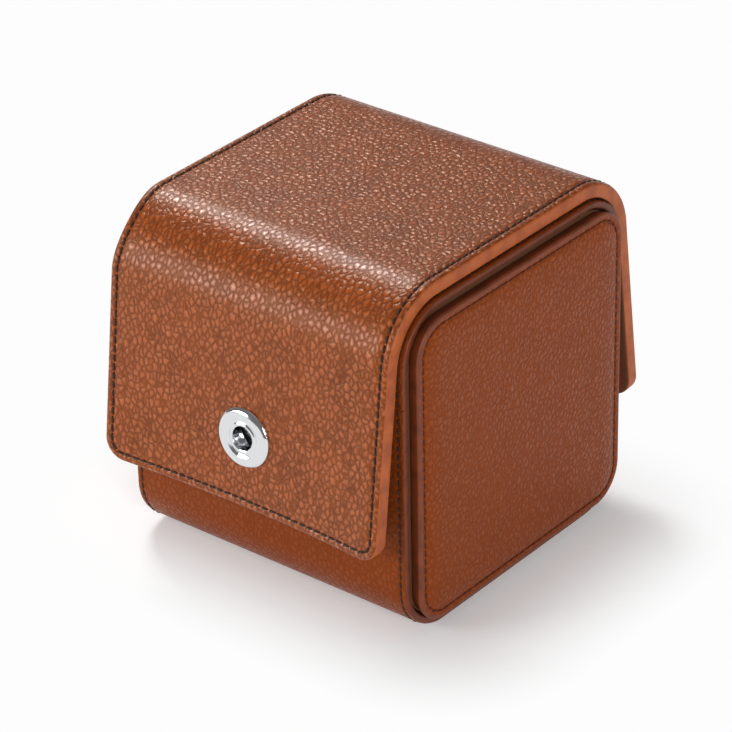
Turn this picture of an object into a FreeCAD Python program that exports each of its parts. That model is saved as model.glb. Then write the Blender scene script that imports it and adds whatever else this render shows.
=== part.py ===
import FreeCAD, Part
import math
import os
from FreeCAD import Vector

# A leather cube that stores one watch on a pillow, closed by a saddle flap with a press stud.
# Millimetres, +Z up, the front towards -Y, the origin in the middle of the bottom face.

# Body, measured over the leather band that runs round front, bottom, back and top
body_width = 76.0
body_depth = 77.6
body_height = 78.6
corner_radius = 13.0

# Wall layers, from the outside in
wrap_thickness = 2.1
shell_thickness = 2.0
lining_thickness = 0.8
wrap_edge_radius = 0.5

# Padded end panels, which plug the two ends of the band and stand proud of it
panel_seat = 1.0
panel_proud = 2.2
panel_crown = 0.7
panel_edge_radius = 1.6
end_board_thickness = 2.0
end_lining_thickness = 0.8

# Lid, which turns down over the front edge and ends in a lip
lid_lip = 8.0

# Saddle flap, which lies on the lid and hangs down the front and the back
flap_width = 76.0
flap_offset = -1.0
flap_leather_thickness = 1.2
flap_core_thickness = 1.6
flap_lining_thickness = 0.8
flap_edge_radius = 0.5
front_leg_length = 43.5
back_leg_length = 45.5
leg_corner_radius = 7.0
leg_bow = 2.0

# Press stud: ring cap and socket on the flap, stud and post on the front wall
snap_offset = -0.5
snap_from_edge = 17.1
snap_play = 0.4
tube_bore = 2.65
tube_wall = 0.3
cap_rim_width = 4.05
cap_rim_roll = 1.4
cap_height = 1.2
cap_groove_width = 0.75
cap_groove_height = 0.65
cap_bead_width = 0.25
cap_bead_height = 0.95
cap_mouth_height = 0.4
clinch_lip = 0.45
clinch_thickness = 0.25
socket_wall = 0.3
socket_plate = 0.35
socket_plate_width = 1.45
socket_height = 1.5
head_play = 0.45
entry_play = 0.2
spring_grip = 0.1
spring_wire_radius = 0.25
spring_arc = 330.0
stud_flange = 0.4
stud_flange_width = 3.05
stud_neck_length = 1.1
stud_neck_depth = 0.5
stud_head_flare = 0.4
stud_head_rim = 0.3
stud_dome = 1.2
stud_wall = 0.4
stud_roof = 0.9
post_head_width = 3.05
post_head = 0.6

# Watch pillow: a stuffed oval cushion that lies across the case
pillow_end_room = 4.2
strap_room = 5.4
watch_room = 21.3
pillow_side_flat = 8.0
pillow_flat = 0.8
pillow_station_shares = (-1.0, -0.9, -0.5, 0.5, 0.9, 1.0)
pillow_girth_shares = (0.84, 0.95, 1.0, 1.0, 0.95, 0.84)

# Clearances, and the distance that cutting solids pass the faces they cut
fit_gap = 0.3
panel_gap = 0.2
pin_gap = 0.1
overrun = 5.0
match_gap = 0.01

# Worked out from the sizes above
half_width = body_width / 2
half_depth = body_depth / 2
corner_y = half_depth - corner_radius
corner_top = body_height - corner_radius
seam_z = corner_top - lid_lip
wall_thickness = wrap_thickness + shell_thickness + lining_thickness
panel_back = half_width - panel_seat
end_board_back = panel_back - end_board_thickness
inside_half_width = end_board_back - end_lining_thickness
flap_left = flap_offset - flap_width / 2
flap_right = flap_offset + flap_width / 2
flap_thickness = flap_leather_thickness + flap_core_thickness + flap_lining_thickness
lining_low = fit_gap
core_low = lining_low + flap_lining_thickness
leather_low = core_low + flap_core_thickness
leather_high = leather_low + flap_leather_thickness
snap_drop = front_leg_length - snap_from_edge
snap_standoff = stud_flange + socket_height + snap_play
tube_radius = tube_bore + tube_wall
cap_radius = tube_radius + cap_rim_width
cap_crown_radius = cap_radius - cap_rim_roll
clinch_radius = tube_radius + clinch_lip
socket_chamber_radius = clinch_radius + pin_gap + socket_wall
stud_head_radius = tube_bore - head_play
stud_neck_radius = stud_head_radius - stud_neck_depth
stud_neck_height = stud_flange + stud_neck_length
stud_head_low = stud_neck_height + stud_head_flare
stud_head_high = stud_head_low + stud_head_rim
stud_height = stud_head_high + stud_dome
stud_bore_depth = stud_height - stud_roof
post_radius = stud_neck_radius - stud_wall - pin_gap
post_head_radius = post_radius + post_head_width
pillow_floor = wall_thickness + fit_gap
pillow_length = 2 * (inside_half_width - pillow_end_room)
pillow_depth = body_depth - 2 * (wall_thickness + strap_room)
pillow_height = body_height - wall_thickness - watch_room - pillow_floor + pillow_flat
pillow_corner_radius = (pillow_height - pillow_side_flat) / 2
flap_layers = {
    "lining": (lining_low, core_low),
    "core": (core_low, leather_low),
    "leather": (leather_low, leather_high),
}
x_axis = Vector(1, 0, 0)


def leg_flare():
    """Degrees that the press stud's height pushes a hanging leg out from the wall."""
    reach = corner_radius + fit_gap - snap_standoff
    span = math.hypot(snap_drop, reach)
    return math.degrees(math.asin(corner_radius / span) - math.atan2(reach, snap_drop))


flare = leg_flare()


def stud_centre():
    """Where the stud's axis meets the front wall, so that its head lies on the socket's axis."""
    lean = math.radians(flare)
    wall_reach = (corner_radius - snap_drop * math.sin(lean)) / math.cos(lean)
    axis_z = corner_top + wall_reach * math.sin(lean) - snap_drop * math.cos(lean)
    head_middle = (stud_head_low + stud_head_high) / 2
    return Vector(snap_offset, -half_depth, axis_z + head_middle * math.tan(lean))


def arc(centre_y, centre_z, radius, start, end):
    """Arc in the YZ plane, angles in degrees from +Y towards +Z."""
    angles = (start, (start + end) / 2, end)
    turned = [math.radians(angle) for angle in angles]
    points = [Vector(0, centre_y + radius * math.cos(a), centre_z + radius * math.sin(a)) for a in turned]
    return Part.Arc(points[0], points[1], points[2]).toShape()


def closed_face(edges):
    return Part.Face(Part.Wire(Part.__sortEdges__(edges)))


def rounded_rectangle(low_y, high_y, low_z, high_z, radius):
    """Closed wire in the YZ plane: four lines joined by quarter circles."""
    inner_low_y = low_y + radius
    inner_high_y = high_y - radius
    inner_low_z = low_z + radius
    inner_high_z = high_z - radius
    line = Part.LineSegment
    edges = [
        line(Vector(0, inner_low_y, low_z), Vector(0, inner_high_y, low_z)).toShape(),
        arc(inner_high_y, inner_low_z, radius, 270, 360),
        line(Vector(0, high_y, inner_low_z), Vector(0, high_y, inner_high_z)).toShape(),
        arc(inner_high_y, inner_high_z, radius, 0, 90),
        line(Vector(0, inner_high_y, high_z), Vector(0, inner_low_y, high_z)).toShape(),
        arc(inner_low_y, inner_high_z, radius, 90, 180),
        line(Vector(0, low_y, inner_high_z), Vector(0, low_y, inner_low_z)).toShape(),
        arc(inner_low_y, inner_low_z, radius, 180, 270),
    ]
    return Part.Wire(edges)


def body_outline(inset):
    """Outline of the case seen from its end, drawn in from the band's outer face."""
    edge_y = half_depth - inset
    return rounded_rectangle(-edge_y, edge_y, inset, body_height - inset, corner_radius - inset)


def across(face, low_x, high_x):
    """Extrude a YZ face along X between two places."""
    moved = face.copy()
    moved.translate(Vector(low_x, 0, 0))
    return moved.extrude(Vector(high_x - low_x, 0, 0))


def block(low, high):
    return Part.makeBox(high.x - low.x, high.y - low.y, high.z - low.z, low)


def along_front(centre, radius, depth):
    """Cylinder that starts at a point of the front wall and runs into the case."""
    return Part.makeCylinder(radius, depth, centre, Vector(0, 1, 0))


def depth_in_body(point):
    """Distance of a point inside the band's outer face, seen from the end."""
    over_y = abs(point.y) - corner_y
    over_z = abs(point.z - body_height / 2) - (body_height / 2 - corner_radius)
    outside = math.hypot(max(over_y, 0), max(over_z, 0))
    return corner_radius - outside - min(max(over_y, over_z), 0)


def middle_of(edge):
    return edge.valueAt((edge.FirstParameter + edge.LastParameter) / 2)


def runs_across(edge):
    """True for an edge that lies along X."""
    return abs(edge.tangentAt((edge.FirstParameter + edge.LastParameter) / 2).x) > math.sqrt(0.5)


def near(value, target):
    return abs(value - target) < match_gap


def soften_band(solid):
    """Round the band's two long outer edges."""
    edges = []
    for edge in solid.Edges:
        middle = middle_of(edge)
        at_side = near(abs(middle.x), half_width)
        if at_side and near(depth_in_body(middle), 0):
            edges.append(edge)
    return solid.makeFillet(wrap_edge_radius, edges)


def band_layer(outer_inset, thickness, base_half_width, lid_half_width):
    """One layer of the band, as its base, its bend over the hinge and its lid."""
    inner_inset = outer_inset + thickness
    outer = Part.Face(body_outline(outer_inset))
    inner = Part.Face(body_outline(inner_inset))
    ring = outer.cut(inner)
    base_ring = across(ring, -base_half_width, base_half_width)
    lid_ring = across(ring, -lid_half_width, lid_half_width)
    side = half_width + overrun
    front = -half_depth - overrun
    back = half_depth + overrun
    above = body_height + overrun
    lid_box = block(Vector(-side, front, seam_z), Vector(side, corner_y, above))
    lid_room = block(Vector(-side, front, seam_z - fit_gap), Vector(side, corner_y, above))
    hinge_box = block(Vector(-side, corner_y, corner_top), Vector(side, back, above))
    base = base_ring.cut(lid_room).cut(hinge_box)
    hinge = lid_ring.common(hinge_box)
    lid = lid_ring.common(lid_box)
    return base, hinge, lid


def case_walls():
    """Leather band, bent fibreboard shell and suede lining of base and lid."""
    lid_half_width = inside_half_width - fit_gap
    wrap, wrap_hinge, wrap_lid = band_layer(0, wrap_thickness, half_width, half_width)
    shell, _, shell_lid = band_layer(
        wrap_thickness, shell_thickness, inside_half_width, lid_half_width)
    lining, lining_hinge, lining_lid = band_layer(
        wrap_thickness + shell_thickness, lining_thickness, inside_half_width, lid_half_width)
    centre = stud_centre()
    post_hole = along_front(centre, post_radius + pin_gap, wrap_thickness + shell_thickness)
    head_seat_y = -half_depth + wrap_thickness + shell_thickness - post_head
    head_seat = along_front(Vector(centre.x, head_seat_y, centre.z), post_head_radius + pin_gap, post_head)
    return {
        "body_wrap": soften_band(wrap).cut(post_hole),
        "body_shell": shell.cut(post_hole).cut(head_seat),
        "body_lining": lining,
        "lid_hinge_leather": soften_band(wrap_hinge),
        "lid_hinge_lining": lining_hinge,
        "lid_panel": soften_band(wrap_lid),
        "lid_board": shell_lid,
        "lid_lining": lining_lid,
    }


def crowned_panel(outline):
    """Padded leather panel with a domed face and a rolled edge, for the right end."""
    face_x = half_width + panel_proud + panel_crown
    plug = across(outline, panel_back, face_x)
    reach = body_height / 2 - wrap_thickness - panel_gap
    dome_radius = (reach ** 2 + panel_crown ** 2) / (2 * panel_crown)
    dome = Part.makeSphere(dome_radius, Vector(face_x - dome_radius, 0, body_height / 2))
    panel = plug.common(dome)
    rim = [e for e in panel.Edges if middle_of(e).x > half_width and not runs_across(e)]
    return panel.makeFillet(panel_edge_radius, rim)


def case_ends():
    """Padded panel, board and lining that close each end of the band."""
    outline = Part.Face(body_outline(wrap_thickness + panel_gap))
    right = {
        "end_panel": crowned_panel(outline),
        "end_board": across(outline, end_board_back, panel_back),
        "end_lining": across(outline, inside_half_width, end_board_back),
    }
    nodes = {}
    for name, shape in right.items():
        nodes["right_" + name] = shape
        nodes["left_" + name] = shape.mirror(Vector(0, 0, 0), x_axis)
    return nodes


def flap_hole():
    """Hole for the ring cap's tube through the front leg, before the leg leans out."""
    outside = -half_depth - leather_high - overrun
    centre = Vector(snap_offset, outside, corner_top - snap_drop)
    return along_front(centre, tube_radius + pin_gap, leather_high + 2 * overrun)


def cap_seat():
    """Flat seat that the ring cap presses into the bowed leather, before the leg leans out."""
    outside = -half_depth - leather_high - overrun
    centre = Vector(snap_offset, outside, corner_top - snap_drop)
    return along_front(centre, cap_radius + pin_gap, overrun)


def leg_section(z, low, high, bow):
    """Level section of a front leg whose sides stand out from its middle by the bow."""
    inner_y = -half_depth - low
    outer_y = -half_depth - high
    corners = [
        Vector(flap_left, inner_y - bow, z), Vector(flap_right, inner_y - bow, z),
        Vector(flap_right, outer_y - bow, z), Vector(flap_left, outer_y - bow, z),
    ]
    if bow == 0:
        return Part.makePolygon(corners + corners[:1])
    edges = [
        Part.Arc(corners[0], Vector(flap_offset, inner_y, z), corners[1]).toShape(),
        Part.LineSegment(corners[1], corners[2]).toShape(),
        Part.Arc(corners[2], Vector(flap_offset, outer_y, z), corners[3]).toShape(),
        Part.LineSegment(corners[3], corners[0]).toShape(),
    ]
    return Part.Wire(edges)


def hanging_leg(length, low, high):
    """Front leg with rounded lower corners, between two heights over the wall, bowed in at its foot."""
    foot = corner_top - length
    sections = [leg_section(corner_top, low, high, 0), leg_section(foot, low, high, leg_bow)]
    slab = Part.makeLoft(sections, True, True)
    plate = rounded_rectangle(
        flap_left, flap_right, foot, corner_top + leg_corner_radius, leg_corner_radius)
    trim = Part.Face(plate).extrude(Vector(high + leg_bow + overrun, 0, 0))
    trim.rotate(Vector(0, 0, 0), Vector(0, 0, 1), -90)
    trim.translate(Vector(0, -half_depth, 0))
    return slab.common(trim)


def soften_leg(leg):
    """Round the outer edge of a leg's leather along its sides and foot."""
    broad_faces = sorted(leg.Faces, key=lambda face: face.Area)[-2:]
    outer_face = min(broad_faces, key=lambda face: face.CenterOfMass.y)
    edges = [e for e in outer_face.Edges if not near(middle_of(e).z, corner_top)]
    return leg.makeFillet(flap_edge_radius, edges)


def lean_out(shape):
    """Turn a front leg, or what it carries, about the bend's centre to its flared place."""
    leant = shape.copy()
    leant.rotate(Vector(0, -corner_y, corner_top), x_axis, -flare)
    return leant


def to_back(shape):
    return shape.mirror(Vector(0, 0, 0), Vector(0, 1, 0))


def flap_legs():
    """Leather, core and lining of the front and back legs of the flap."""
    hole = flap_hole()
    nodes = {}
    for name, (low, high) in flap_layers.items():
        front = hanging_leg(front_leg_length, low, high)
        back = hanging_leg(back_leg_length, low, high)
        if name == "leather":
            front = soften_leg(front).cut(cap_seat())
            back = soften_leg(back)
        nodes["flap_front_" + name] = lean_out(front.cut(hole))
        nodes["flap_back_" + name] = to_back(lean_out(back))
    return nodes


def flap_top():
    """Leather, core and lining of the flat part that lies on the lid."""
    nodes = {}
    for name, (low, high) in flap_layers.items():
        low_corner = Vector(flap_left, -corner_y, body_height + low)
        high_corner = Vector(flap_right, corner_y, body_height + high)
        nodes["flap_top_" + name] = block(low_corner, high_corner)
    leather = nodes["flap_top_leather"]
    face_z = body_height + leather_high
    sides = [e for e in leather.Edges if near(middle_of(e).z, face_z) and not runs_across(e)]
    nodes["flap_top_leather"] = leather.makeFillet(flap_edge_radius, sides)
    return nodes


def flap_bends():
    """Bonded leather and lining where the flap turns down at the front and the back."""
    inner = corner_radius + lining_low
    outer = corner_radius + leather_high
    turn_end = 180 - flare
    lean = math.radians(turn_end)
    along = Vector(0, math.cos(lean), math.sin(lean))
    centre = Vector(0, -corner_y, corner_top)
    up = Vector(0, 0, 1)
    edges = [
        arc(-corner_y, corner_top, inner, 90, turn_end),
        Part.LineSegment(centre + along * inner, centre + along * outer).toShape(),
        arc(-corner_y, corner_top, outer, 90, turn_end),
        Part.LineSegment(centre + up * outer, centre + up * inner).toShape(),
    ]
    bend = across(closed_face(edges), flap_left, flap_right)
    rim = []
    for edge in bend.Edges:
        middle = middle_of(edge)
        reach = math.hypot(middle.y + corner_y, middle.z - corner_top)
        if near(reach, outer) and not runs_across(edge):
            rim.append(edge)
    bend = bend.makeFillet(flap_edge_radius, rim)
    return {"flap_front_bend": bend, "flap_back_bend": to_back(bend)}


def turned(edges, angle=360.0):
    """Solid of revolution about Z from a closed outline in the XZ plane."""
    return closed_face(edges).revolve(Vector(0, 0, 0), Vector(0, 0, 1), angle)


def polyline(points):
    """Straight edges through (radius, height) points."""
    vectors = [Vector(radius, 0, height) for radius, height in points]
    return [Part.LineSegment(a, b).toShape() for a, b in zip(vectors, vectors[1:])]


def curve(start, through, end):
    """Arc through three (radius, height) points."""
    points = [Vector(radius, 0, height) for radius, height in (start, through, end)]
    return Part.Arc(points[0], points[1], points[2]).toShape()


def ring_cap():
    """Domed ring with a rolled bead round its hole and a tube clinched behind the socket plate."""
    rim = (cap_radius, 0)
    shoulder = ((cap_radius + cap_crown_radius) / 2 + cap_height / 4, cap_height * math.sqrt(0.5))
    crown = (cap_crown_radius, cap_height)
    groove = (tube_radius + cap_groove_width, cap_groove_height)
    slope = ((crown[0] + groove[0]) / 2, (crown[1] + groove[1]) / 2)
    bead = (tube_radius + cap_bead_width, cap_bead_height)
    mouth = (tube_bore, cap_mouth_height)
    plate_back = -flap_thickness - socket_plate
    tube_end = plate_back - clinch_thickness
    outline = [
        curve(rim, shoulder, crown),
        curve(crown, (slope[0], slope[1] + cap_mouth_height / 4), groove),
        curve(groove, bead, mouth),
    ]
    outline += polyline([
        mouth, (tube_bore, tube_end), (clinch_radius, tube_end), (clinch_radius, plate_back),
        (tube_radius, plate_back), (tube_radius, 0), rim,
    ])
    return turned(outline)


def snap_socket():
    """Plate on the flap's lining with a lipped chamber that holds the spring."""
    top = -flap_thickness
    plate_back = top - socket_plate
    end = top - socket_height
    hole = tube_radius + pin_gap
    rim = socket_chamber_radius + socket_plate_width
    entry = stud_head_radius + entry_play
    chamber_inside = socket_chamber_radius - socket_wall
    return turned(polyline([
        (hole, top), (rim, top), (rim, plate_back), (socket_chamber_radius, plate_back),
        (socket_chamber_radius, end), (entry, end), (entry, end + socket_wall),
        (chamber_inside, end + socket_wall), (chamber_inside, plate_back), (hole, plate_back),
        (hole, top),
    ]))


def snap_spring():
    """Open wire ring that closes behind the stud's head."""
    height = -flap_thickness - socket_height + socket_wall + spring_wire_radius
    ring_radius = stud_head_radius - spring_grip + spring_wire_radius
    wire = Part.makeCircle(spring_wire_radius, Vector(ring_radius, 0, height), Vector(0, 1, 0))
    return Part.Face(Part.Wire([wire])).revolve(Vector(0, 0, 0), Vector(0, 0, 1), spring_arc)


def snap_stud():
    """Flanged stud with a rounded head, bored for its post."""
    top = (0, stud_height)
    rise = stud_height - stud_head_high
    dome_radius = (stud_head_radius ** 2 + rise ** 2) / (2 * rise)
    half_turn = math.asin(stud_head_radius / dome_radius) / 2
    brow = (dome_radius * math.sin(half_turn), stud_height - dome_radius * (1 - math.cos(half_turn)))
    cheek = (stud_head_radius, stud_head_high)
    bore = post_radius + pin_gap
    flange_radius = stud_neck_radius + stud_flange_width
    outline = polyline([
        (bore, 0), (flange_radius, 0), (flange_radius, stud_flange),
        (stud_neck_radius, stud_flange), (stud_neck_radius, stud_neck_height),
        (stud_head_radius, stud_head_low), cheek,
    ])
    outline.append(curve(cheek, brow, top))
    outline += polyline([top, (0, stud_bore_depth), (bore, stud_bore_depth), (bore, 0)])
    return turned(outline)


def snap_post():
    """Rivet whose head lies in the shell, under the lining, and whose shank enters the stud."""
    wall = wrap_thickness + shell_thickness
    return turned(polyline([
        (0, -wall), (post_head_radius, -wall), (post_head_radius, post_head - wall),
        (post_radius, post_head - wall), (post_radius, stud_bore_depth - pin_gap),
        (0, stud_bore_depth - pin_gap), (0, -wall),
    ]))


def facing_front(shape, place):
    """Turn a piece made along +Z to point to -Y and move it to its place."""
    placed = shape.copy()
    placed.rotate(Vector(0, 0, 0), x_axis, 90)
    placed.translate(place)
    return placed


def press_stud():
    """The four metal pieces of the press stud and its spring, closed."""
    cap_place = Vector(snap_offset, -half_depth - leather_high, corner_top - snap_drop)
    wall_place = stud_centre()
    return {
        "snap_cap": lean_out(facing_front(ring_cap(), cap_place)),
        "snap_socket": lean_out(facing_front(snap_socket(), cap_place)),
        "snap_spring": lean_out(facing_front(snap_spring(), cap_place)),
        "snap_stud": facing_front(snap_stud(), wall_place),
        "snap_post": facing_front(snap_post(), wall_place),
    }


def watch_pillow():
    """Stuffed cushion, full in the middle and drawn in at its ends, flat where it lies."""
    middle_z = pillow_floor - pillow_flat + pillow_height / 2
    wires = []
    for station, girth in zip(pillow_station_shares, pillow_girth_shares):
        reach_y = girth * pillow_depth / 2
        reach_z = girth * pillow_height / 2
        wire = rounded_rectangle(
            -reach_y, reach_y, middle_z - reach_z, middle_z + reach_z, girth * pillow_corner_radius)
        wire.translate(Vector(station * pillow_length / 2, 0, 0))
        wires.append(wire)
    cushion = Part.makeLoft(wires, True, False)
    side = pillow_length + overrun
    under = block(Vector(-side, -body_depth, -overrun), Vector(side, body_depth, pillow_floor))
    return cushion.cut(under)


def build():
    nodes = case_walls()
    nodes.update(case_ends())
    nodes.update(flap_top())
    nodes.update(flap_bends())
    nodes.update(flap_legs())
    nodes.update(press_stud())
    nodes["watch_pillow"] = watch_pillow()
    return nodes


os.makedirs("parts", exist_ok=True)
for node_name, node_shape in build().items():
    node_shape.exportStep("parts/" + node_name + ".step")
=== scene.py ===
import math
import bmesh
import bpy
from mathutils import Matrix, Vector


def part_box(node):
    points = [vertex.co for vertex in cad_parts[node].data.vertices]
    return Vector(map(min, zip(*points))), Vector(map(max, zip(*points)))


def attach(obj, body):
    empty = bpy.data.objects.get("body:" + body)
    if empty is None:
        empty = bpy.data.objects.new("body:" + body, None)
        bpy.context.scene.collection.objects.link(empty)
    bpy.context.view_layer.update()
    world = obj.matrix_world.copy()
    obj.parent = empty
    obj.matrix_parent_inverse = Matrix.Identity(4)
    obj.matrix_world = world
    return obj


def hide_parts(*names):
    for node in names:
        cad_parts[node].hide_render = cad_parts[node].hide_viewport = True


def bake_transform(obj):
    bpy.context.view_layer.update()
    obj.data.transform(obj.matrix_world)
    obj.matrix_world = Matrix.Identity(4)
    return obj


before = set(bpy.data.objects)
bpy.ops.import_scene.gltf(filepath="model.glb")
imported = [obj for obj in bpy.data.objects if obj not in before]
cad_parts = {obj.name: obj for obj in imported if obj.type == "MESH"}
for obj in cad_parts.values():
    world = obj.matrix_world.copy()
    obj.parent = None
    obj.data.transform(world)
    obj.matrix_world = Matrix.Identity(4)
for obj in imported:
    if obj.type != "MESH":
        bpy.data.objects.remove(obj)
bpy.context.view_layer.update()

# Sizes in metres. +Z is up, the front is towards -Y, and the origin is in the middle of the bottom.
mm = 0.001
half_width = 38.0 * mm
half_depth = 38.8 * mm
case_height = 78.6 * mm
corner = 13.0 * mm
corner_y = half_depth - corner
corner_top = case_height - corner
wrap_thickness = 2.1 * mm
board_thickness = 2.0 * mm
inside_half_width = 34.2 * mm
lid_lip = 8.0 * mm
fit_gap = 0.3 * mm
quarter = math.pi / 2
same_spot = 1e-6
least_step = 0.02 * mm

# In the relief tables below, a distance from the cut edge is paired with a height over the sheet's plane,
# both in millimetres. The last distance is beyond any sheet's middle.
sheet_end = 100.0

# The flap lies over the lid and hangs down the front and the back
flap_offset = -1.0 * mm
flap_half = 38.0 * mm
flap_left = flap_offset - flap_half
flap_right = flap_offset + flap_half
flap_thickness = 3.6 * mm
flap_radius = corner + fit_gap + flap_thickness
flap_corner = 5.0 * mm
flare = math.radians(4.4158)
front_leg = 43.5 * mm
back_leg = 45.5 * mm
leg_bow = 2.0 * mm
bend_draw = 0.8 * mm
snap_x = -0.5 * mm
snap_drop = 26.4 * mm
snap_hole = 2.95 * mm
flap_step = 2.0 * mm
flap_bend_step = 1.0 * mm
flap_rounding = 0.45 * mm
flap_margin = (0.0, 0.9 * mm, 1.4 * mm, 1.9 * mm, 2.4 * mm, 3.0 * mm, 4.0 * mm, flap_corner)
flap_relief = ((0.0, -0.35), (0.9, -0.06), (1.4, -0.1), (1.9, -0.36), (2.4, -0.1), (3.0, 0.0))
flap_under_side = ((0.0, -3.6), (sheet_end, -3.6))
flap_seam = 1.9 * mm
hold_seam_drop = 5.0 * mm

# The band runs round front, bottom and back, and on over the lid
lip_gap = 0.06 * mm
lip_step = 2.0 * mm
band_step = 2.5 * mm
corner_step = 0.9 * mm
band_end_margin = (0.0, 0.9 * mm)
band_rounding = 0.35 * mm
band_margin = (0.0, 0.65 * mm, 1.05 * mm, 1.45 * mm, 1.85 * mm, 2.4 * mm)
band_relief = (
    (0.0, -0.15), (0.65, -0.04), (1.05, -0.03), (1.45, -0.2), (1.85, -0.03), (2.4, 0.0))
band_under_side = ((0.0, -1.65), (1.05, -1.7), (1.85, -2.1), (sheet_end, -2.1))
band_seam = 1.45 * mm

# Padded end panels, their sewn rim drawn in a little from the band
panel_inset = 2.45 * mm
panel_back = 37.0 * mm
panel_half_y = half_depth - panel_inset
panel_low = panel_inset
panel_high = case_height - panel_inset
panel_corner = 8.6 * mm
panel_seam = 2.0 * mm
panel_margin = (
    0.0, 0.5 * mm, 1.0 * mm, 1.6 * mm, 2.0 * mm, 2.4 * mm, 2.9 * mm, 3.6 * mm, 4.8 * mm, 6.4 * mm,
    7.6 * mm, panel_corner)
panel_relief = (
    (0.0, 2.75), (0.5, 2.98), (1.0, 3.04), (1.6, 2.98), (2.0, 2.78), (2.4, 3.0), (2.9, 3.2),
    (3.6, 3.38), (4.8, 3.54), (6.4, 3.68), (8.2, 3.75), (13.0, 3.84), (22.0, 3.9), (40.0, 3.9))
panel_under_side = ((0.0, 0.05), (sheet_end, 0.05))
panel_undercut = 0.7 * mm
panel_rim = 1.1 * mm
panel_step = 5.0 * mm
panel_rounding = 0.4 * mm

# Suede linings, plain on both sides
lining_face = ((0.0, 0.0), (sheet_end, 0.0))
lining_under_side = ((0.0, -0.8), (sheet_end, -0.8))
lining_step = 4.0 * mm
lining_rounding = 0.2 * mm
end_lining_gap = 0.2 * mm
end_lining_step = 8.0 * mm

# Stitches
stitch_pitch = 2.1 * mm
stitch_length = 1.85 * mm
stitch_width = 0.68 * mm
stitch_slant = 0.1
flap_stitch_depth = 0.24 * mm
hold_stitch_depth = 0.12 * mm
band_stitch_depth = 0.17 * mm
panel_stitch_depth = -2.9 * mm
panel_stitch_width = 0.5 * mm
seam_arc_steps = 12


class Value:
    """A shader socket that takes part in sums."""

    def __init__(self, finish, socket):
        self.finish = finish
        self.socket = socket

    def combine(self, operation, first, second):
        return self.finish.make("ShaderNodeMath", {"operation": operation}, {0: first, 1: second})

    def __add__(self, other):
        return self.combine("ADD", self, other)

    def __radd__(self, other):
        return self.combine("ADD", other, self)

    def __sub__(self, other):
        return self.combine("SUBTRACT", self, other)

    def __rsub__(self, other):
        return self.combine("SUBTRACT", other, self)

    def __mul__(self, other):
        return self.combine("MULTIPLY", self, other)

    def __rmul__(self, other):
        return self.combine("MULTIPLY", other, self)


class Finish:
    """A material, or the studio's surround, that is built up node by node."""

    def __init__(self, name, kind=bpy.data.materials):
        self.material = kind.new(name)
        self.material.use_nodes = True
        self.tree = self.material.node_tree
        self.tree.nodes.clear()

    def make(self, kind, settings, sockets, output=0):
        """Add a node, set it up, fill or link its sockets, and give one of its outputs."""
        node = self.tree.nodes.new(kind)
        for key, setting in settings.items():
            setattr(node, key, setting)
        for key, filling in sockets.items():
            if isinstance(filling, Value):
                self.tree.links.new(filling.socket, node.inputs[key])
            else:
                node.inputs[key].default_value = filling
        return Value(self, node.outputs[output]) if len(node.outputs) else None

    def place(self, uv):
        """Where the pattern lies: on the cut sheet, or in the case itself."""
        if uv:
            return self.make("ShaderNodeUVMap", {"uv_map": "flat"}, {})
        return self.make("ShaderNodeTexCoord", {}, {}, "Object")

    def noise(self, place, size, detail, output=0):
        return self.make(
            "ShaderNodeTexNoise", {}, {"Vector": place, "Scale": 1 / size, "Detail": detail}, output)

    def shift(self, place, amount, by):
        """Push a pattern about by a coloured noise."""
        return self.make(
            "ShaderNodeVectorMath", {"operation": "MULTIPLY_ADD"}, {0: by, 1: (amount,) * 3, 2: place})

    def soften(self, value, low, high):
        """Smooth step from 0 at low to 1 at high."""
        return self.make(
            "ShaderNodeMapRange", {"interpolation_type": "SMOOTHSTEP", "clamp": True},
            {"Value": value, "From Min": low, "From Max": high, "To Min": 0.0, "To Max": 1.0})

    def blend(self, share, first, second):
        return self.make("ShaderNodeMix", {"data_type": "RGBA"}, {0: share, 6: first, 7: second}, 2)

    def raised(self, height, depth):
        return self.make("ShaderNodeBump", {}, {"Height": height, "Distance": depth})

    def surface(self, **sockets):
        named = {key.replace("_", " "): filling for key, filling in sockets.items()}
        shader = self.make("ShaderNodeBsdfPrincipled", {}, named)
        self.make("ShaderNodeOutputMaterial", {}, {"Surface": shader})
        return self.material


def tone(red, green, blue):
    """Colour from screen values of 0 to 255."""
    channels = [value / 255 for value in (red, green, blue)]
    linear = [c / 12.92 if c <= 0.04045 else ((c + 0.055) / 1.055) ** 2.4 for c in channels]
    return (*linear, 1.0)


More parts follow.
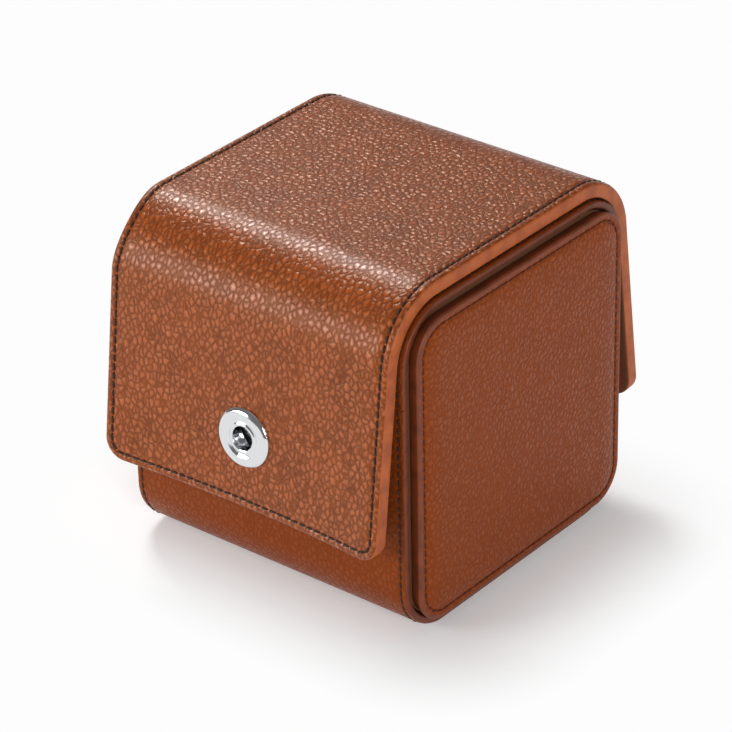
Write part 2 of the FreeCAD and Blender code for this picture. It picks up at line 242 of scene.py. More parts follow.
def pebbled_leather(name, top, crease, glint_tone, pitch, depth, gloss):
    """Grained leather: pebbles with painted glints on their tips, creases darker partly in their own tone
    and partly as painted shade, and a slow drift of tone.

    The gloss sets the shine of the whole skin, and of a thin finish that lies on the pebbles' crowns."""
    finish = Finish(name)
    place = finish.place(True)
    drawn = finish.make(
        "ShaderNodeMapping", {},
        {"Vector": place, "Scale": (1.0, 0.8, 1.0), "Rotation": (0, 0, quarter / 2)})
    push = finish.noise(drawn, pitch * 0.8, 2.0, "Color")
    warped = finish.shift(drawn, pitch * 0.5, push)
    edge = finish.make(
        "ShaderNodeTexVoronoi", {"feature": "DISTANCE_TO_EDGE"},
        {"Vector": warped, "Scale": 1 / pitch, "Randomness": 0.85})
    drift = finish.noise(place, pitch * 8, 3.0)
    swell = finish.noise(drawn, pitch * 0.6, 1.0)
    fine = finish.noise(place, pitch * 0.2, 2.0)
    crown = finish.soften(edge, -0.06, 0.46)
    # Painted glints: a lighter tone on the crowns of some pebbles stands in for highlights
    painted_glint = finish.soften(swell, 0.45, 0.7) * crown
    # Where the crown is low the crease colour lies, partly the grain's own tone and partly painted shade in
    # the creases
    skin = finish.blend(crown * 0.8 + swell * 0.4 + (drift - 0.5) * 0.5, crease, top)
    skin = finish.blend(painted_glint * 0.15, skin, glint_tone)
    grain = crown + swell * 0.6 + fine * 0.12
    return finish.surface(
        Base_Color=skin, Roughness=0.42 - crown * 0.16, Specular_IOR_Level=gloss * 0.5,
        Coat_Weight=crown * (gloss * 0.7), Coat_Roughness=0.3,
        Specular_Tint=(1.0, 0.59, 0.31, 1.0), Normal=finish.raised(grain, depth))


def edge_paint(name, colour, shade):
    """Painted cut edge, smooth, with slow brush marks."""
    finish = Finish(name)
    place = finish.place(False)
    marks = finish.noise(place, 3.5 * mm, 3.0)
    fine = finish.noise(place, 0.4 * mm, 2.0)
    skin = finish.blend(finish.soften(marks, 0.3, 0.75), colour, shade)
    return finish.surface(
        Base_Color=skin, Roughness=0.42 + fine * 0.12, Specular_IOR_Level=0.45,
        Normal=finish.raised(marks * 0.8 + fine * 0.2, 0.06 * mm))


def waxed_thread(name, dark, light):
    finish = Finish(name)
    place = finish.place(False)
    strands = finish.noise(place, 0.25 * mm, 2.0)
    skin = finish.blend(strands, dark, light)
    return finish.surface(
        Base_Color=skin, Roughness=0.55, Specular_IOR_Level=0.3, Normal=finish.raised(strands, 0.08 * mm))


def napped_suede(name, light, dark):
    """Suede with a short nap and soft mottling."""
    finish = Finish(name)
    place = finish.place(False)
    mottle = finish.noise(place, 7.0 * mm, 4.0)
    nap = finish.noise(place, 0.28 * mm, 3.0)
    skin = finish.blend(mottle * 0.65 + nap * 0.35, dark, light)
    return finish.surface(
        Base_Color=skin, Roughness=0.9, Specular_IOR_Level=0.15, Sheen_Weight=0.25, Sheen_Roughness=0.5,
        Normal=finish.raised(nap, 0.12 * mm))


def smooth_leather(name, light, dark):
    """Plain under leather of the flap, with fine pores."""
    finish = Finish(name)
    place = finish.place(False)
    mottle = finish.noise(place, 9.0 * mm, 3.0)
    pores = finish.noise(place, 0.35 * mm, 3.0)
    skin = finish.blend(mottle * 0.6 + pores * 0.4, dark, light)
    return finish.surface(
        Base_Color=skin, Roughness=0.55 + pores * 0.15, Specular_IOR_Level=0.35,
        Normal=finish.raised(pores, 0.07 * mm))


def raw_board(name):
    finish = Finish(name)
    place = finish.place(False)
    fibres = finish.noise(place, 0.5 * mm, 4.0)
    skin = finish.blend(fibres, tone(92, 58, 38), tone(130, 88, 60))
    return finish.surface(
        Base_Color=skin, Roughness=0.8, Specular_IOR_Level=0.2, Normal=finish.raised(fibres, 0.08 * mm))


def polished_metal(name, colour, low, high):
    """Plated metal with faint handling marks."""
    finish = Finish(name)
    place = finish.place(False)
    marks = finish.noise(place, 1.2 * mm, 5.0)
    fine = finish.noise(place, 0.12 * mm, 2.0)
    rough = low + (high - low) * finish.soften(marks, 0.3, 0.75)
    return finish.surface(
        Base_Color=colour, Metallic=1.0, Roughness=rough, Normal=finish.raised(fine, 0.002 * mm))


# Each leather gets its crown colour, a crease colour that carries painted shade, and the colour of its
# painted glints
flap_leather = pebbled_leather(
    "flap leather", tone(168, 80, 26), tone(92, 38, 10), tone(204, 130, 76), 1.35 * mm, 0.16 * mm, 0.85)
# The band is the flap's skin in a darker tone: painted shade on the lower band
shaded_band_leather = pebbled_leather(
    "band leather", tone(137, 62, 19), tone(120, 53, 15), tone(146, 72, 28), 1.35 * mm, 0.12 * mm, 0.2)
panel_leather = pebbled_leather(
    "panel leather", tone(149, 67, 19), tone(128, 56, 15), tone(170, 92, 42), 1.3 * mm, 0.18 * mm, 0.25)
flap_edge = edge_paint("flap edge paint", tone(186, 93, 34), tone(156, 71, 23))
panel_edge = edge_paint("panel rim", tone(128, 57, 21), tone(104, 45, 15))
# The band's cut edge is the flap's edge paint in a darker tone: painted shade from the flap over it
shaded_band_edge = edge_paint("band edge paint", tone(118, 52, 20), tone(94, 39, 13))
flap_under = smooth_leather("flap under leather", tone(124, 70, 42), tone(98, 52, 30))
dark_thread = waxed_thread("dark thread", tone(26, 14, 9), tone(62, 34, 22))
red_thread = waxed_thread("red thread", tone(58, 22, 10), tone(98, 42, 20))
lining_suede = napped_suede("lining suede", tone(196, 172, 143), tone(166, 140, 112))
pillow_suede = napped_suede("pillow suede", tone(214, 196, 170), tone(190, 168, 140))
board = raw_board("raw board")
chrome = polished_metal("polished chrome", tone(224, 225, 227), 0.06, 0.16)
spring_steel = polished_metal("spring steel", tone(196, 196, 198), 0.18, 0.3)


def walk(start, heading, route, run):
    """Place and heading, in the YZ plane, after a run along straight stretches and right turns."""
    place = Vector(start)
    left = run
    for length, radius in route:
        step = min(left, length)
        if radius == 0:
            place += step * Vector((math.cos(heading), math.sin(heading)))
        else:
            outward = Vector((-math.sin(heading), math.cos(heading)))
            centre = place - radius * outward
            heading -= step / radius
            place = centre + radius * Vector((-math.sin(heading), math.cos(heading)))
        left -= step
        if left <= 0:
            break
    return place, heading


def along(start, heading, route):
    """Function that gives the point over a bent sheet: across, along its run, and its rise."""
    def point(x, run, rise):
        place, turned = walk(start, heading, route, run)
        place += rise * Vector((-math.sin(turned), math.cos(turned)))
        return Vector((x, place.x, place.y))
    return point


def stations(low, high, low_margin, high_margin, sections):
    """Places from low to high: the margins' own, and even steps between the ends of the sections."""
    marks = [low + inset for inset in low_margin] + [high - inset for inset in high_margin]
    first = low + (low_margin[-1] if low_margin else 0)
    last = high - (high_margin[-1] if high_margin else 0)
    begin = first
    for end, spacing in sections:
        stop = min(end, last)
        if stop > begin:
            count = max(1, round((stop - begin) / spacing))
            marks += [begin + (stop - begin) * k / count for k in range(count + 1)]
            begin = stop
    marks.sort()
    return [mark for mark, after in zip(marks, marks[1:] + [high + 1]) if after - mark > least_step]


def relief(table, inset):
    """Height over the sheet's plane at a distance from its edge, read between the table's points."""
    at = inset / mm
    for (near, low), (far, high) in zip(table, table[1:]):
        if at <= far:
            return (low + (high - low) * (at - near) / (far - near)) * mm
    return table[-1][1] * mm


def round_corner(x, run, left, right, start, end, radius, ends):
    """Draw a rectangle's corners in to quarter circles; lines beside the edge stay parallel to it."""
    over_x = max(left + radius - x, x - right + radius, 0.0)
    over_run = 0.0
    if "start" in ends:
        over_run = max(over_run, start + radius - run)
    if "end" in ends:
        over_run = max(over_run, run - end + radius)
    if radius == 0 or over_x <= 0 or over_run <= 0:
        return x, run
    reach = max(over_x, over_run)
    turn = math.pi / 4 * min(over_x, over_run) / reach
    if over_run > over_x:
        turn = quarter - turn
    centre_x = left + radius if x < left + radius else right - radius
    centre_run = start + radius if run < start + radius and "start" in ends else end - radius
    sign_x = -1 if x < centre_x else 1
    sign_run = -1 if run < centre_run else 1
    return centre_x + sign_x * reach * math.cos(turn), centre_run + sign_run * reach * math.sin(turn)


def shaded(bm, name, materials, sharp=math.radians(40)):
    """Turn a finished bmesh into an object, smooth but for its sharp edges."""
    for face in bm.faces:
        face.smooth = True
    for edge in bm.edges:
        if edge.is_manifold and edge.calc_face_angle(0.0) > sharp:
            edge.smooth = False
    mesh = bpy.data.meshes.new(name)
    bm.to_mesh(mesh)
    bm.free()
    for material in materials:
        mesh.materials.append(material)
    made = bpy.data.objects.new(name, mesh)
    bpy.context.scene.collection.objects.link(made)
    return made


def cut_sheet(
        name, columns, rows, point, profile, under, corner_radius, ends, rounding, materials,
        hole=None, rim=0.0, undercut=0.0):
    """A sheet cut flat, bent into place and given its thickness.

    The profile lifts and sinks its face by the distance from the cut edges, and under does so for its
    lower side. The ends named are cut with rounded corners, and an end that isn't named is straight. A hole
    is given by its place and radius. The materials are those of the face, the cut edge and the lower side.
    The rim's width gets the edge's finish too, and an undercut draws the lower side in."""
    left, right, start, end = columns[0], columns[-1], rows[0], rows[-1]
    middle = Vector(((left + right) / 2, (start + end) / 2))
    bm = bmesh.new()
    bmesh.ops.create_grid(bm, x_segments=len(columns) - 1, y_segments=len(rows) - 1, size=1.0)
    for vert in bm.verts:
        column = round((vert.co.x + 1) / 2 * (len(columns) - 1))
        row = round((vert.co.y + 1) / 2 * (len(rows) - 1))
        vert.co = (columns[column], rows[row], 0)
    if hole:
        centre = Vector((hole[0], hole[1], 0))
        inside = [
            face for face in bm.faces
            if max(abs(c) for vert in face.verts for c in vert.co - centre) < 2.2 * hole[2]]
        border = {
            edge for face in inside for edge in face.edges
            if any(other not in inside for other in edge.link_faces)}
        bmesh.ops.delete(bm, geom=inside, context="FACES")
        for vert in bmesh.ops.extrude_edge_only(bm, edges=list(border))["geom"]:
            if isinstance(vert, bmesh.types.BMVert):
                vert.co = centre + hole[2] * (vert.co - centre).normalized()
        bmesh.ops.recalc_face_normals(bm, faces=bm.faces)
    outer = list(bm.faces)
    if outer[0].normal.z < 0:
        bmesh.ops.reverse_faces(bm, faces=outer)
    made = bmesh.ops.extrude_face_region(bm, geom=outer, use_keep_orig=True)["geom"]
    inner = [face for face in made if isinstance(face, bmesh.types.BMFace)]
    lower = {vert for vert in made if isinstance(vert, bmesh.types.BMVert)}
    bmesh.ops.reverse_faces(bm, faces=inner)
    for face in bm.faces:
        face.material_index = 1
    for faces, index in ((outer, 0), (inner, 2)):
        for face in faces:
            face.material_index = index
    joined = [run for run, side in ((start, "start"), (end, "end")) if side not in ends]
    rounded = []
    for edge in bm.edges:
        at_join = any(all(abs(vert.co.y - run) < 1e-9 for vert in edge.verts) for run in joined)
        if len({face.material_index for face in edge.link_faces}) == 2 and not at_join:
            rounded.append(edge)
    uv = bm.loops.layers.uv.new("flat")
    bent, insets = {}, {}
    for vert in bm.verts:
        x, run = vert.co.x, vert.co.y
        inset = min(x - left, right - x)
        if "start" in ends:
            inset = min(inset, run - start)
        if "end" in ends:
            inset = min(inset, end - run)
        x, run = round_corner(x, run, left, right, start, end, corner_radius, ends)
        vert.co = (x, run, 0)
        if vert in lower:
            x += undercut * (middle.x - x) / (right - middle.x)
            run += undercut * (middle.y - run) / (end - middle.y)
        bent[vert] = point(x, run, relief(under if vert in lower else profile, inset))
        insets[vert] = inset
    for face in bm.faces:
        for loop in face.loops:
            loop[uv].uv = loop.vert.co.xy
    for face in outer:
        if max(insets[vert] for vert in face.verts) < rim:
            face.material_index = 1
    for vert, place in bent.items():
        vert.co = place
    bmesh.ops.recalc_face_normals(bm, faces=bm.faces)
    bmesh.ops.bevel(
        bm, geom=rounded, offset=rounding, segments=3, profile=0.5, affect="EDGES", material=-1)
    return shaded(bm, name, materials)


def seam(left, right, start, end, radius, inset, ends):
    """Points along the sewing line beside the cut edges of a flat sheet, in one row or two."""
    low_x, high_x = left + inset, right - inset
    bend = max(radius - inset, 0.0)
    low = start + inset if "start" in ends else start
    high = end - inset if "end" in ends else end
    if "start" in ends:
        arc = [
            Vector((low_x + bend - bend * math.cos(a), low + bend - bend * math.sin(a)))
            for a in (quarter * k / seam_arc_steps for k in range(seam_arc_steps + 1))]
        other = [Vector((low_x + high_x - p.x, p.y)) for p in reversed(arc)]
        return [[Vector((low_x, high))] + arc + other + [Vector((high_x, high))]]
    if "end" in ends:
        turned = seam(left, right, -end, -start, radius, inset, ("start",))
        return [[Vector((p.x, -p.y)) for p in row] for row in turned]
    return [[Vector((x, low)), Vector((x, high))] for x in (low_x, high_x)]


def stitches(name, rows, point, depth, thread, width):
    """Short thread stitches laid end to end along sewing lines, each sunk a little."""
    bm = bmesh.new()
    bmesh.ops.create_uvsphere(bm, u_segments=8, v_segments=6, radius=1.0)
    single = bpy.data.meshes.new(name)
    bm.to_mesh(single)
    bm.clear()
    spots = []
    for row in rows:
        lengths = [(b - a).length for a, b in zip(row, row[1:])]
        count = max(1, int(sum(lengths) / stitch_pitch))
        for k in range(count):
            left = (k + 0.5) * sum(lengths) / count
            for a, b, length in zip(row, row[1:], lengths):
                if left <= length:
                    break
                left -= length
            spots.append((a + (b - a) * (left / length), (b - a).normalized()))
    for spot in spots:
        bm.from_mesh(single)
    for number, vert in enumerate(bm.verts):
        middle, way = spots[number // len(single.vertices)]
        ahead = vert.co.z * stitch_length / 2
        aside = vert.co.x * width / 2 + ahead * stitch_slant
        spot = middle + way * ahead + Vector((-way.y, way.x)) * aside
        vert.co = point(spot.x, spot.y, vert.co.y * width / 2 - depth)
    bpy.data.meshes.remove(single)
    bmesh.ops.recalc_face_normals(bm, faces=bm.faces)
    return shaded(bm, name, [thread])


def turned_piece(name, outline, rounding, axis, place, material, angle=2 * math.pi):
    """Solid of revolution from a closed (radius, height) outline in millimetres, set on an axis."""
    bm = bmesh.new()
    verts = [bm.verts.new((radius * mm, 0, height * mm)) for radius, height in outline]
    for pair in zip(verts, verts[1:] + verts[:1]):
        bm.edges.new(pair)
    if rounding:
        bmesh.ops.bevel(
            bm, geom=verts, offset=rounding * mm, segments=3, profile=0.5, affect="VERTICES", material=-1)
    full = angle >= 2 * math.pi
    if not full:
        bm.faces.new(verts)
    bmesh.ops.spin(
        bm, geom=bm.verts[:] + bm.edges[:] + bm.faces[:], cent=(0, 0, 0), axis=(0, 0, 1), angle=angle,
        steps=72, use_merge=full)
    bmesh.ops.remove_doubles(bm, verts=bm.verts, dist=same_spot)
    bmesh.ops.recalc_face_normals(bm, faces=bm.faces)
    turn = Vector((0, 0, 1)).rotation_difference(axis).to_matrix().to_4x4()
    bmesh.ops.transform(bm, matrix=Matrix.Translation(place) @ turn, verts=bm.verts)
    return shaded(bm, name, [material], math.radians(50))


def belongs(piece, body, slot, *nodes):
    """Let a piece ride on a body and stand for its CAD nodes."""
    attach(piece, body)
    if nodes:
        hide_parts(*nodes)


# Saddle flap, from the front foot over the top to the back foot
bend_run = flap_radius * (quarter - flare)
top_run = 2 * corner_y
outward = Vector((-math.cos(flare), math.sin(flare)))
downward = Vector((-math.sin(flare), -math.cos(flare)))
front_bend_end = Vector((-corner_y, corner_top)) + flap_radius * outward
front_foot = front_bend_end + front_leg * downward
flap_route = (
    (front_leg, 0), (bend_run, flap_radius), (top_run, 0), (bend_run, flap_radius), (back_leg, 0))
flap_run = front_leg + 2 * bend_run + top_run + back_leg
flap_split = front_leg + bend_run + top_run / 2
flap_straight = along(front_foot, quarter - flare, flap_route)


def over_flap(x, run, rise):
    """Point over the flap: its legs bow in at the middle of their feet, its left edge is drawn in."""
    hang = max((front_leg - run) / front_leg, (run - flap_run + back_leg) / back_leg, 0.0)
    side = (x - flap_offset) / flap_half
    turn = min(max((run - front_leg) / bend_run, 0.0), 1.0)
    drawn_in = bend_draw * math.sin(math.pi * turn) ** 2 * max(-side, 0.0) ** 2
    return flap_straight(x + drawn_in, run, rise + leg_bow * hang * side * side)


flap_columns = stations(flap_left, flap_right, flap_margin, flap_margin, [(flap_right, flap_step)])
flap_marks = [
    (front_leg, flap_step), (front_leg + bend_run, flap_bend_step), (flap_split, flap_step),
    (flap_run - back_leg - bend_run, flap_step), (flap_run - back_leg, flap_bend_step),
    (flap_run, flap_step)]
front_rows = stations(0.0, flap_split, flap_margin, (), flap_marks)
back_rows = stations(flap_split, flap_run, (), flap_margin, flap_marks)
flap_finish = [flap_leather, flap_edge, flap_under]
front_flap = cut_sheet(
    "flap_front", flap_columns, front_rows, over_flap, flap_relief, flap_under_side, flap_corner,
    ("start",), flap_rounding, flap_finish, (snap_x, front_leg - snap_drop, snap_hole))
back_flap = cut_sheet(
    "flap_back", flap_columns, back_rows, over_flap, flap_relief, flap_under_side, flap_corner,
    ("end",), flap_rounding, flap_finish)
front_thread = stitches(
    "flap_front_stitches",
    seam(flap_left, flap_right, 0.0, flap_split, flap_corner, flap_seam, ("start",)),
    over_flap, flap_stitch_depth, dark_thread, stitch_width)
back_thread = stitches(
    "flap_back_stitches",
    seam(flap_left, flap_right, flap_split, flap_run, flap_corner, flap_seam, ("end",)),
    over_flap, flap_stitch_depth, dark_thread, stitch_width)
hold_run = flap_run - back_leg + hold_seam_drop
hold_thread = stitches(
    "flap_hold_stitches",
    [[Vector((flap_left + 2 * flap_seam, hold_run)), Vector((flap_right - 2 * flap_seam, hold_run))]],
    over_flap, hold_stitch_depth, dark_thread, stitch_width)
belongs(hold_thread, "base", "grained_leather")
for piece in (front_flap, front_thread):
    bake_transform(piece)
for piece in (back_flap, back_thread):
    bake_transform(piece)
top_nodes = ("flap_top_leather", "flap_top_core", "flap_top_lining")
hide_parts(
    "flap_front_leather", "flap_front_core", "flap_front_lining", "flap_front_bend",
    *top_nodes)
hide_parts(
    "flap_back_leather", "flap_back_core", "flap_back_lining", "flap_back_bend", *top_nodes)

# Band of the base, from the hinge down the back, along the bottom and up the front
wall_run = corner_top - corner
corner_run = corner * quarter
front_wall = wall_run - lid_lip - lip_gap
base_route = (
    (wall_run, 0), (corner_run, corner), (2 * corner_y, 0), (corner_run, corner), (front_wall, 0))
base_run = sum(length for length, radius in base_route)
over_base = along((half_depth, corner_top), -quarter, base_route)
base_marks = [
    (wall_run, band_step), (wall_run + corner_run, corner_step),
    (wall_run + corner_run + 2 * corner_y, band_step),
    (wall_run + 2 * corner_run + 2 * corner_y, corner_step), (base_run, band_step)]
band_columns = stations(-half_width, half_width, band_margin, band_margin, [(half_width, band_step)])
base_rows = stations(0.0, base_run, (), band_end_margin, base_marks)
band_finish = [shaded_band_leather, shaded_band_edge, flap_under]
base_band = cut_sheet(
    "band_base", band_columns, base_rows, over_base, band_relief, band_under_side, 0.0, (), band_rounding,
    band_finish)
belongs(base_band, "base", "grained_leather", "body_wrap")
base_thread = stitches(
    "band_base_stitches", seam(-half_width, half_width, 0.0, base_run, 0.0, band_seam, ()), over_base,
    band_stitch_depth, dark_thread, stitch_width)
belongs(base_thread, "base", "grained_leather")

# Band of the lid, from its lip up the front, over the top and round the hinge
lid_route = ((lid_lip, 0), (corner_run, corner), (2 * corner_y, 0), (corner_run, corner))
lid_run = sum(length for length, radius in lid_route)
over_lid = along((-half_depth, corner_top - lid_lip), quarter, lid_route)
lid_marks = [
    (lid_lip, lip_step), (lid_lip + corner_run, corner_step),
    (lid_lip + corner_run + 2 * corner_y, band_step), (lid_run, corner_step)]
lid_rows = stations(0.0, lid_run, band_end_margin, (), lid_marks)
lid_band = cut_sheet(
    "band_lid", band_columns, lid_rows, over_lid, band_relief, band_under_side, 0.0, (), band_rounding,
    band_finish)
lid_thread = stitches(
    "band_lid_stitches", seam(-half_width, half_width, 0.0, lid_run, 0.0, band_seam, ()), over_lid,
    band_stitch_depth, dark_thread, stitch_width)
for piece in (lid_band, lid_thread):
    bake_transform(piece)
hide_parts("lid_panel", "lid_hinge_leather")

# Suede lining of base and lid, inside the boards
lining_finish = [lining_suede] * 3
lining_rise = wrap_thickness + board_thickness
lining_columns = stations(
    -inside_half_width, inside_half_width, (), (), [(inside_half_width, lining_step)])


def inside(point):
    """The same sheet, moved in by the thickness of leather and board."""
    def sunk(x, run, rise):
        return point(x, run, rise - lining_rise)
    return sunk


base_lining_run = base_run - 2 * quarter * lining_rise
lid_lining_run = lid_run - 2 * quarter * lining_rise
base_lining = cut_sheet(
    "lining_base", lining_columns, base_rows, inside(over_base), lining_face, lining_under_side, 0.0, (),
    lining_rounding, lining_finish)
belongs(base_lining, "base", "suede_lining", "body_lining")
lid_lining_half = inside_half_width - fit_gap
lid_lining_columns = stations(-lid_lining_half, lid_lining_half, (), (), [(lid_lining_half, lining_step)])
lid_lining = cut_sheet(
    "lining_lid", lid_lining_columns, lid_rows, inside(over_lid), lining_face, lining_under_side, 0.0, (),
    lining_rounding, lining_finish)
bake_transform(lid_lining)
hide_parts("lid_lining", "lid_hinge_lining")

# Padded end panels with their stitching, and the linings behind them
panel_columns = stations(
    -panel_half_y, panel_half_y, panel_margin, panel_margin, [(panel_half_y, panel_step)])
panel_rows = stations(panel_low, panel_high, panel_margin, panel_margin, [(panel_high, panel_step)])
plate_inset = wrap_thickness + end_lining_gap
plate_corner = corner - plate_inset
plate_margin = (0.0, 1.0 * mm, 3.0 * mm, 6.0 * mm, plate_corner)
plate_half = half_depth - plate_inset
plate_columns = stations(
    -plate_half, plate_half, plate_margin, plate_margin, [(plate_half, end_lining_step)])
plate_rows = stations(
    plate_inset, case_height - plate_inset, plate_margin, plate_margin, [(case_height, end_lining_step)])
for side, sign in (("left", -1), ("right", 1)):
    def on_panel(across, up, rise, sign=sign):
        return Vector((sign * (panel_back + rise), sign * across, up))

    def on_lining(across, up, rise, sign=sign):
        return Vector((sign * (inside_half_width - rise), -sign * across, up))

    panel = cut_sheet(
        side + "_panel", panel_columns, panel_rows, on_panel, panel_relief, panel_under_side, panel_corner,
        ("start", "end"), panel_rounding, [panel_leather, panel_edge, board], rim=panel_rim,
        undercut=panel_undercut)
    belongs(panel, "base", "panel_leather", side + "_end_panel")
    half_loop = seam(
        -panel_half_y, panel_half_y, panel_low, case_height / 2, panel_corner, panel_seam,
        ("start",))[0]
    other_half = [Vector((p.x, case_height - p.y)) for p in half_loop]
    loop_thread = stitches(
        side + "_panel_stitches", [half_loop, other_half], on_panel, panel_stitch_depth, red_thread,
        panel_stitch_width)
    belongs(loop_thread, "base", "panel_leather")
    end_lining = cut_sheet(
        side + "_lining", plate_columns, plate_rows, on_lining, lining_face, lining_under_side,
        plate_corner, ("start", "end"), lining_rounding, lining_finish)
    belongs(end_lining, "base", "suede_lining", side + "_end_lining")

# Press stud: outlines are (radius, height) in millimetres, from the flap's face or from the wall
cap_foot = front_bend_end + snap_drop * downward
cap_place = Vector((snap_x, cap_foot.x, cap_foot.y))
cap_axis = Vector((0, outward.x, outward.y))
stud_low, stud_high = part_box("snap_stud")
stud_place = Vector((snap_x, -half_depth, (stud_low.z + stud_high.z) / 2))
wall_axis = Vector((0, -1, 0))
cap_outline = (
    (7.0, 0.0), (6.9, 0.5), (6.35, 0.98), (5.6, 1.2), (4.6, 1.02), (3.75, 0.66), (3.45, 0.86),
    (3.1, 0.96), (2.75, 0.82), (2.65, 0.4), (2.65, -4.2), (3.4, -4.2), (3.4, -3.95), (2.95, -3.95),
    (2.95, 0.0))
cap = turned_piece("snap_ring", cap_outline, 0.12, cap_axis, cap_place, chrome)
belongs(cap, "front_flap", "polished_metal", "snap_cap")
socket_outline = (
    (3.05, -3.6), (5.25, -3.6), (5.25, -3.95), (3.8, -3.95), (3.8, -5.1), (2.4, -5.1), (2.4, -4.8),
    (3.5, -4.8), (3.5, -3.95), (3.05, -3.95))
socket = turned_piece("snap_socket_cup", socket_outline, 0.08, cap_axis, cap_place, chrome)
belongs(socket, "front_flap", "polished_metal", "snap_socket")
spring_radius, spring_height, wire_radius, wire_sides = 2.35, -4.55, 0.25, 12
spring_turn = math.radians(330)
wire = [
    (spring_radius + wire_radius * math.cos(2 * math.pi * k / wire_sides),
     spring_height + wire_radius * math.sin(2 * math.pi * k / wire_sides))
    for k in range(wire_sides)]
spring = turned_piece(
    "snap_ring_spring", wire, 0.0, cap_axis, cap_place, spring_steel, spring_turn)
belongs(spring, "front_flap", "spring_steel", "snap_spring")
stud_outline = (
    (1.3, 0.0), (4.75, 0.0), (4.75, 0.4), (1.7, 0.4), (1.7, 1.5), (2.2, 1.9), (2.2, 2.2), (1.95, 2.75),
    (1.4, 3.2), (0.7, 3.36), (0.0, 3.4), (0.0, 2.5), (1.3, 2.5))
stud = turned_piece("snap_stud_head", stud_outline, 0.06, wall_axis, stud_place, chrome)
belongs(stud, "base", "polished_metal", "snap_stud")

# Watch pillow: the CAD form drawn in a little, then filled out as cloth under pressure
pillow_share = (0.97, 0.96, 0.96)
pillow_mesh = 3.0 * mm
pillow_pressure = 4.0
pillow_frames = 20
pillow_swell = 2.5 * mm
pillow_low, pillow_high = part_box("watch_pillow")
pillow_middle = (pillow_low + pillow_high) / 2
bm = bmesh.new()
bm.from_mesh(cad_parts["watch_pillow"].data)
bmesh.ops.remove_doubles(bm, verts=bm.verts, dist=same_spot)
bmesh.ops.scale(
    bm, vec=pillow_share, verts=bm.verts, space=Matrix.Translation(-pillow_middle))
pillow = shaded(bm, "pillow", [pillow_suede])
remesh = pillow.modifiers.new("voxels", "REMESH")
remesh.mode = "VOXEL"
remesh.voxel_size = pillow_mesh
bpy.context.view_layer.objects.active = pillow
bpy.ops.object.modifier_apply(modifier="voxels")
rest = [vert.co.copy() for vert in pillow.data.vertices]
cloth = pillow.modifiers.new("stuffing", "CLOTH")
cloth.settings.use_pressure = True
cloth.settings.uniform_pressure_force = pillow_pressure
cloth.settings.effector_weights.gravity = 0.0
for step in range(1, pillow_frames + 1):
    bpy.context.scene.frame_set(step)
bpy.ops.object.modifier_apply(modifier="stuffing")
bpy.context.scene.frame_set(1)
for vert, start in zip(pillow.data.vertices, rest):
    move = vert.co - start
    if move.length > pillow_swell:
        move *= pillow_swell / move.length
    vert.co = start + move
for vert in pillow.data.vertices:
    vert.co = Vector(
        min(max(c, low), high) for c, low, high in zip(vert.co, pillow_low, pillow_high))
smooth = pillow.modifiers.new("smooth", "SUBSURF")
smooth.levels = 1
smooth.render_levels = 1
for face in pillow.data.polygons:
    face.use_smooth = True
belongs(pillow, "base", "pillow_suede", "watch_pillow")

# Boards and the rivet stay as they are in the CAD
for node, material in (
        ("body_shell", board), ("lid_board", board), ("left_end_board", board),
        ("right_end_board", board), ("snap_post", chrome)):
    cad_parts[node].data.materials.clear()
    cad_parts[node].data.materials.append(material)

# Studio: a floor that keeps the shadow round the foot of the case and fades to white beyond it, soft lamps,
# and a surround that is white in view but lights the case only dimly
white_light = (1, 1, 1, 1)
floor_half = 6.0
floor_drop = 0.2 * mm
foot_half = (0.038, 0.026, 0)
fade_start, fade_end = 0.003, 0.039
bm = bmesh.new()
bmesh.ops.create_grid(bm, x_segments=1, y_segments=1, size=floor_half)
bmesh.ops.translate(bm, vec=(0, 0, -floor_drop), verts=bm.verts)
floor_finish = Finish("studio floor")
seen = floor_finish.make("ShaderNodeMath", {"operation": "MAXIMUM"}, {
    0: floor_finish.make("ShaderNodeLightPath", {}, {}, "Is Camera Ray"),
    1: floor_finish.make("ShaderNodeLightPath", {}, {}, "Is Glossy Ray")})
matt = floor_finish.make("ShaderNodeBsdfDiffuse", {}, {"Color": (0.88, 0.88, 0.88, 1)})
glow = floor_finish.make("ShaderNodeEmission", {}, {"Color": white_light, "Strength": 0.18})
near = floor_finish.make("ShaderNodeAddShader", {}, {0: matt, 1: glow})
white = floor_finish.make("ShaderNodeEmission", {}, {"Color": white_light, "Strength": 0.98})
spread = floor_finish.make(
    "ShaderNodeVectorMath", {"operation": "ABSOLUTE"}, {0: floor_finish.place(False)})
beyond = floor_finish.make(
    "ShaderNodeVectorMath", {"operation": "SUBTRACT"}, {0: spread, 1: foot_half})
outside = floor_finish.make(
    "ShaderNodeVectorMath", {"operation": "MAXIMUM"}, {0: beyond, 1: (0, 0, 0)})
reach = floor_finish.make("ShaderNodeVectorMath", {"operation": "LENGTH"}, {0: outside}, "Value")
faded = floor_finish.make(
    "ShaderNodeMixShader", {}, {0: floor_finish.soften(reach, fade_start, fade_end), 1: near, 2: white})
lit = floor_finish.make("ShaderNodeMixShader", {}, {0: seen, 1: matt, 2: faded})
floor_finish.make("ShaderNodeOutputMaterial", {}, {"Surface": lit})
floor = shaded(bm, "studio_floor", [floor_finish.material])

surround = Finish("studio", bpy.data.worlds)
in_view = surround.make("ShaderNodeLightPath", {}, {}, "Is Camera Ray")
backdrop = surround.make(
    "ShaderNodeBackground", {}, {"Color": white_light, "Strength": 0.18 + in_view * 0.8})
surround.make("ShaderNodeOutputWorld", {}, {"Surface": backdrop})
bpy.context.scene.world = surround.material


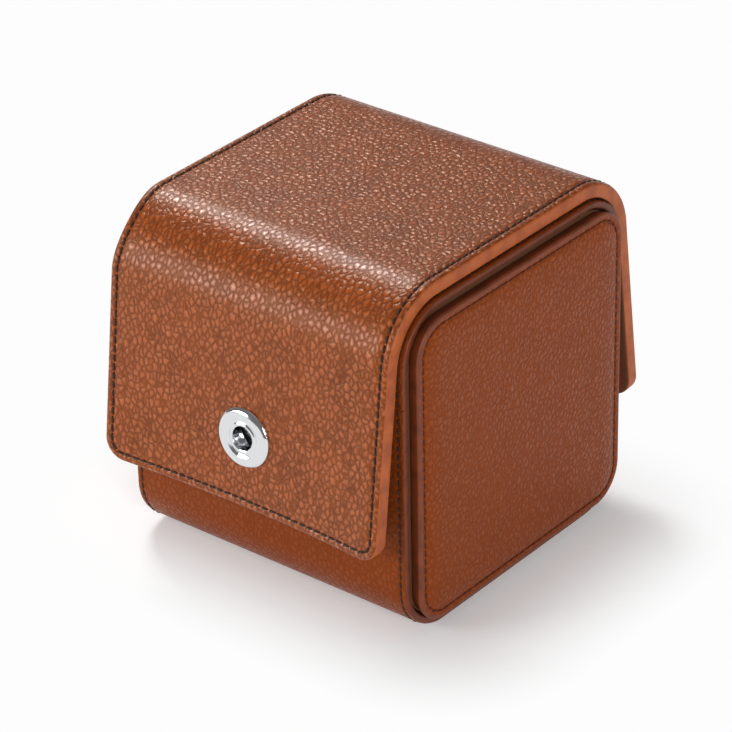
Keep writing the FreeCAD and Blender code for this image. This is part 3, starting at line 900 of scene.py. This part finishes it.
def softbox(name, place, aim, width, height, power):
    """Flat lamp at a place, turned towards its aim, with its power in watts."""
    lamp = bpy.data.lights.new(name, "AREA")
    lamp.shape = "RECTANGLE"
    lamp.size = width
    lamp.size_y = height
    lamp.energy = power
    made = bpy.data.objects.new(name, lamp)
    made.location = place
    made.rotation_euler = (Vector(aim) - Vector(place)).to_track_quat("-Z", "Y").to_euler()
    bpy.context.scene.collection.objects.link(made)


softbox("key", (-0.55, 0.36, 0.745), (0, -0.03, 0.08), 0.26, 0.26, 5.4)
softbox("back", (-0.75, 0.95, 0.45), (0, 0, 0.08), 1.4, 0.7, 0.3)
softbox("low_left", (-0.78, -0.92, 0.34), (0, 0, 0.06), 0.6, 0.5, 8.5)
softbox("fill", (0.95, -0.7, 0.52), (0, 0, 0.04), 0.4, 0.4, 6.8)
softbox("side", (1.3, -0.05, 0.2), (0, 0, 0.04), 0.08, 0.08, 1.3)
softbox("above", (0, 0, 1.2), (0, 0, 0), 1.0, 1.0, 0.6)

# Camera at the photograph's place
camera_distance = 0.81657
aim_height = 0.04
aim_right, aim_up = -2.526 * mm, -1.9 * mm
camera_data = bpy.data.cameras.new("camera")
camera_data.sensor_width = 36.0
camera_data.lens = 182.03
camera = bpy.data.objects.new("camera", camera_data)
yaw, pitch, roll = math.radians(39.235), math.radians(29.678), math.radians(-1.224)
behind = Vector((
    math.sin(yaw) * math.cos(pitch), -math.cos(yaw) * math.cos(pitch), math.sin(pitch)))
right = (-behind).cross(Vector((0, 0, 1))).normalized()
up = right.cross(-behind)
target = Vector((0, 0, aim_height)) + right * aim_right + up * aim_up
turned_right = right * math.cos(roll) + up * math.sin(roll)
turned_up = up * math.cos(roll) - right * math.sin(roll)
camera.matrix_world = Matrix.Translation(target + behind * camera_distance) @ Matrix(
    (turned_right, turned_up, behind)).transposed().to_4x4()
camera_data.clip_start = 0.01
camera_data.clip_end = 50.0
bpy.context.scene.collection.objects.link(camera)
bpy.context.scene.camera = camera
bpy.context.scene.view_settings.view_transform = "Standard"
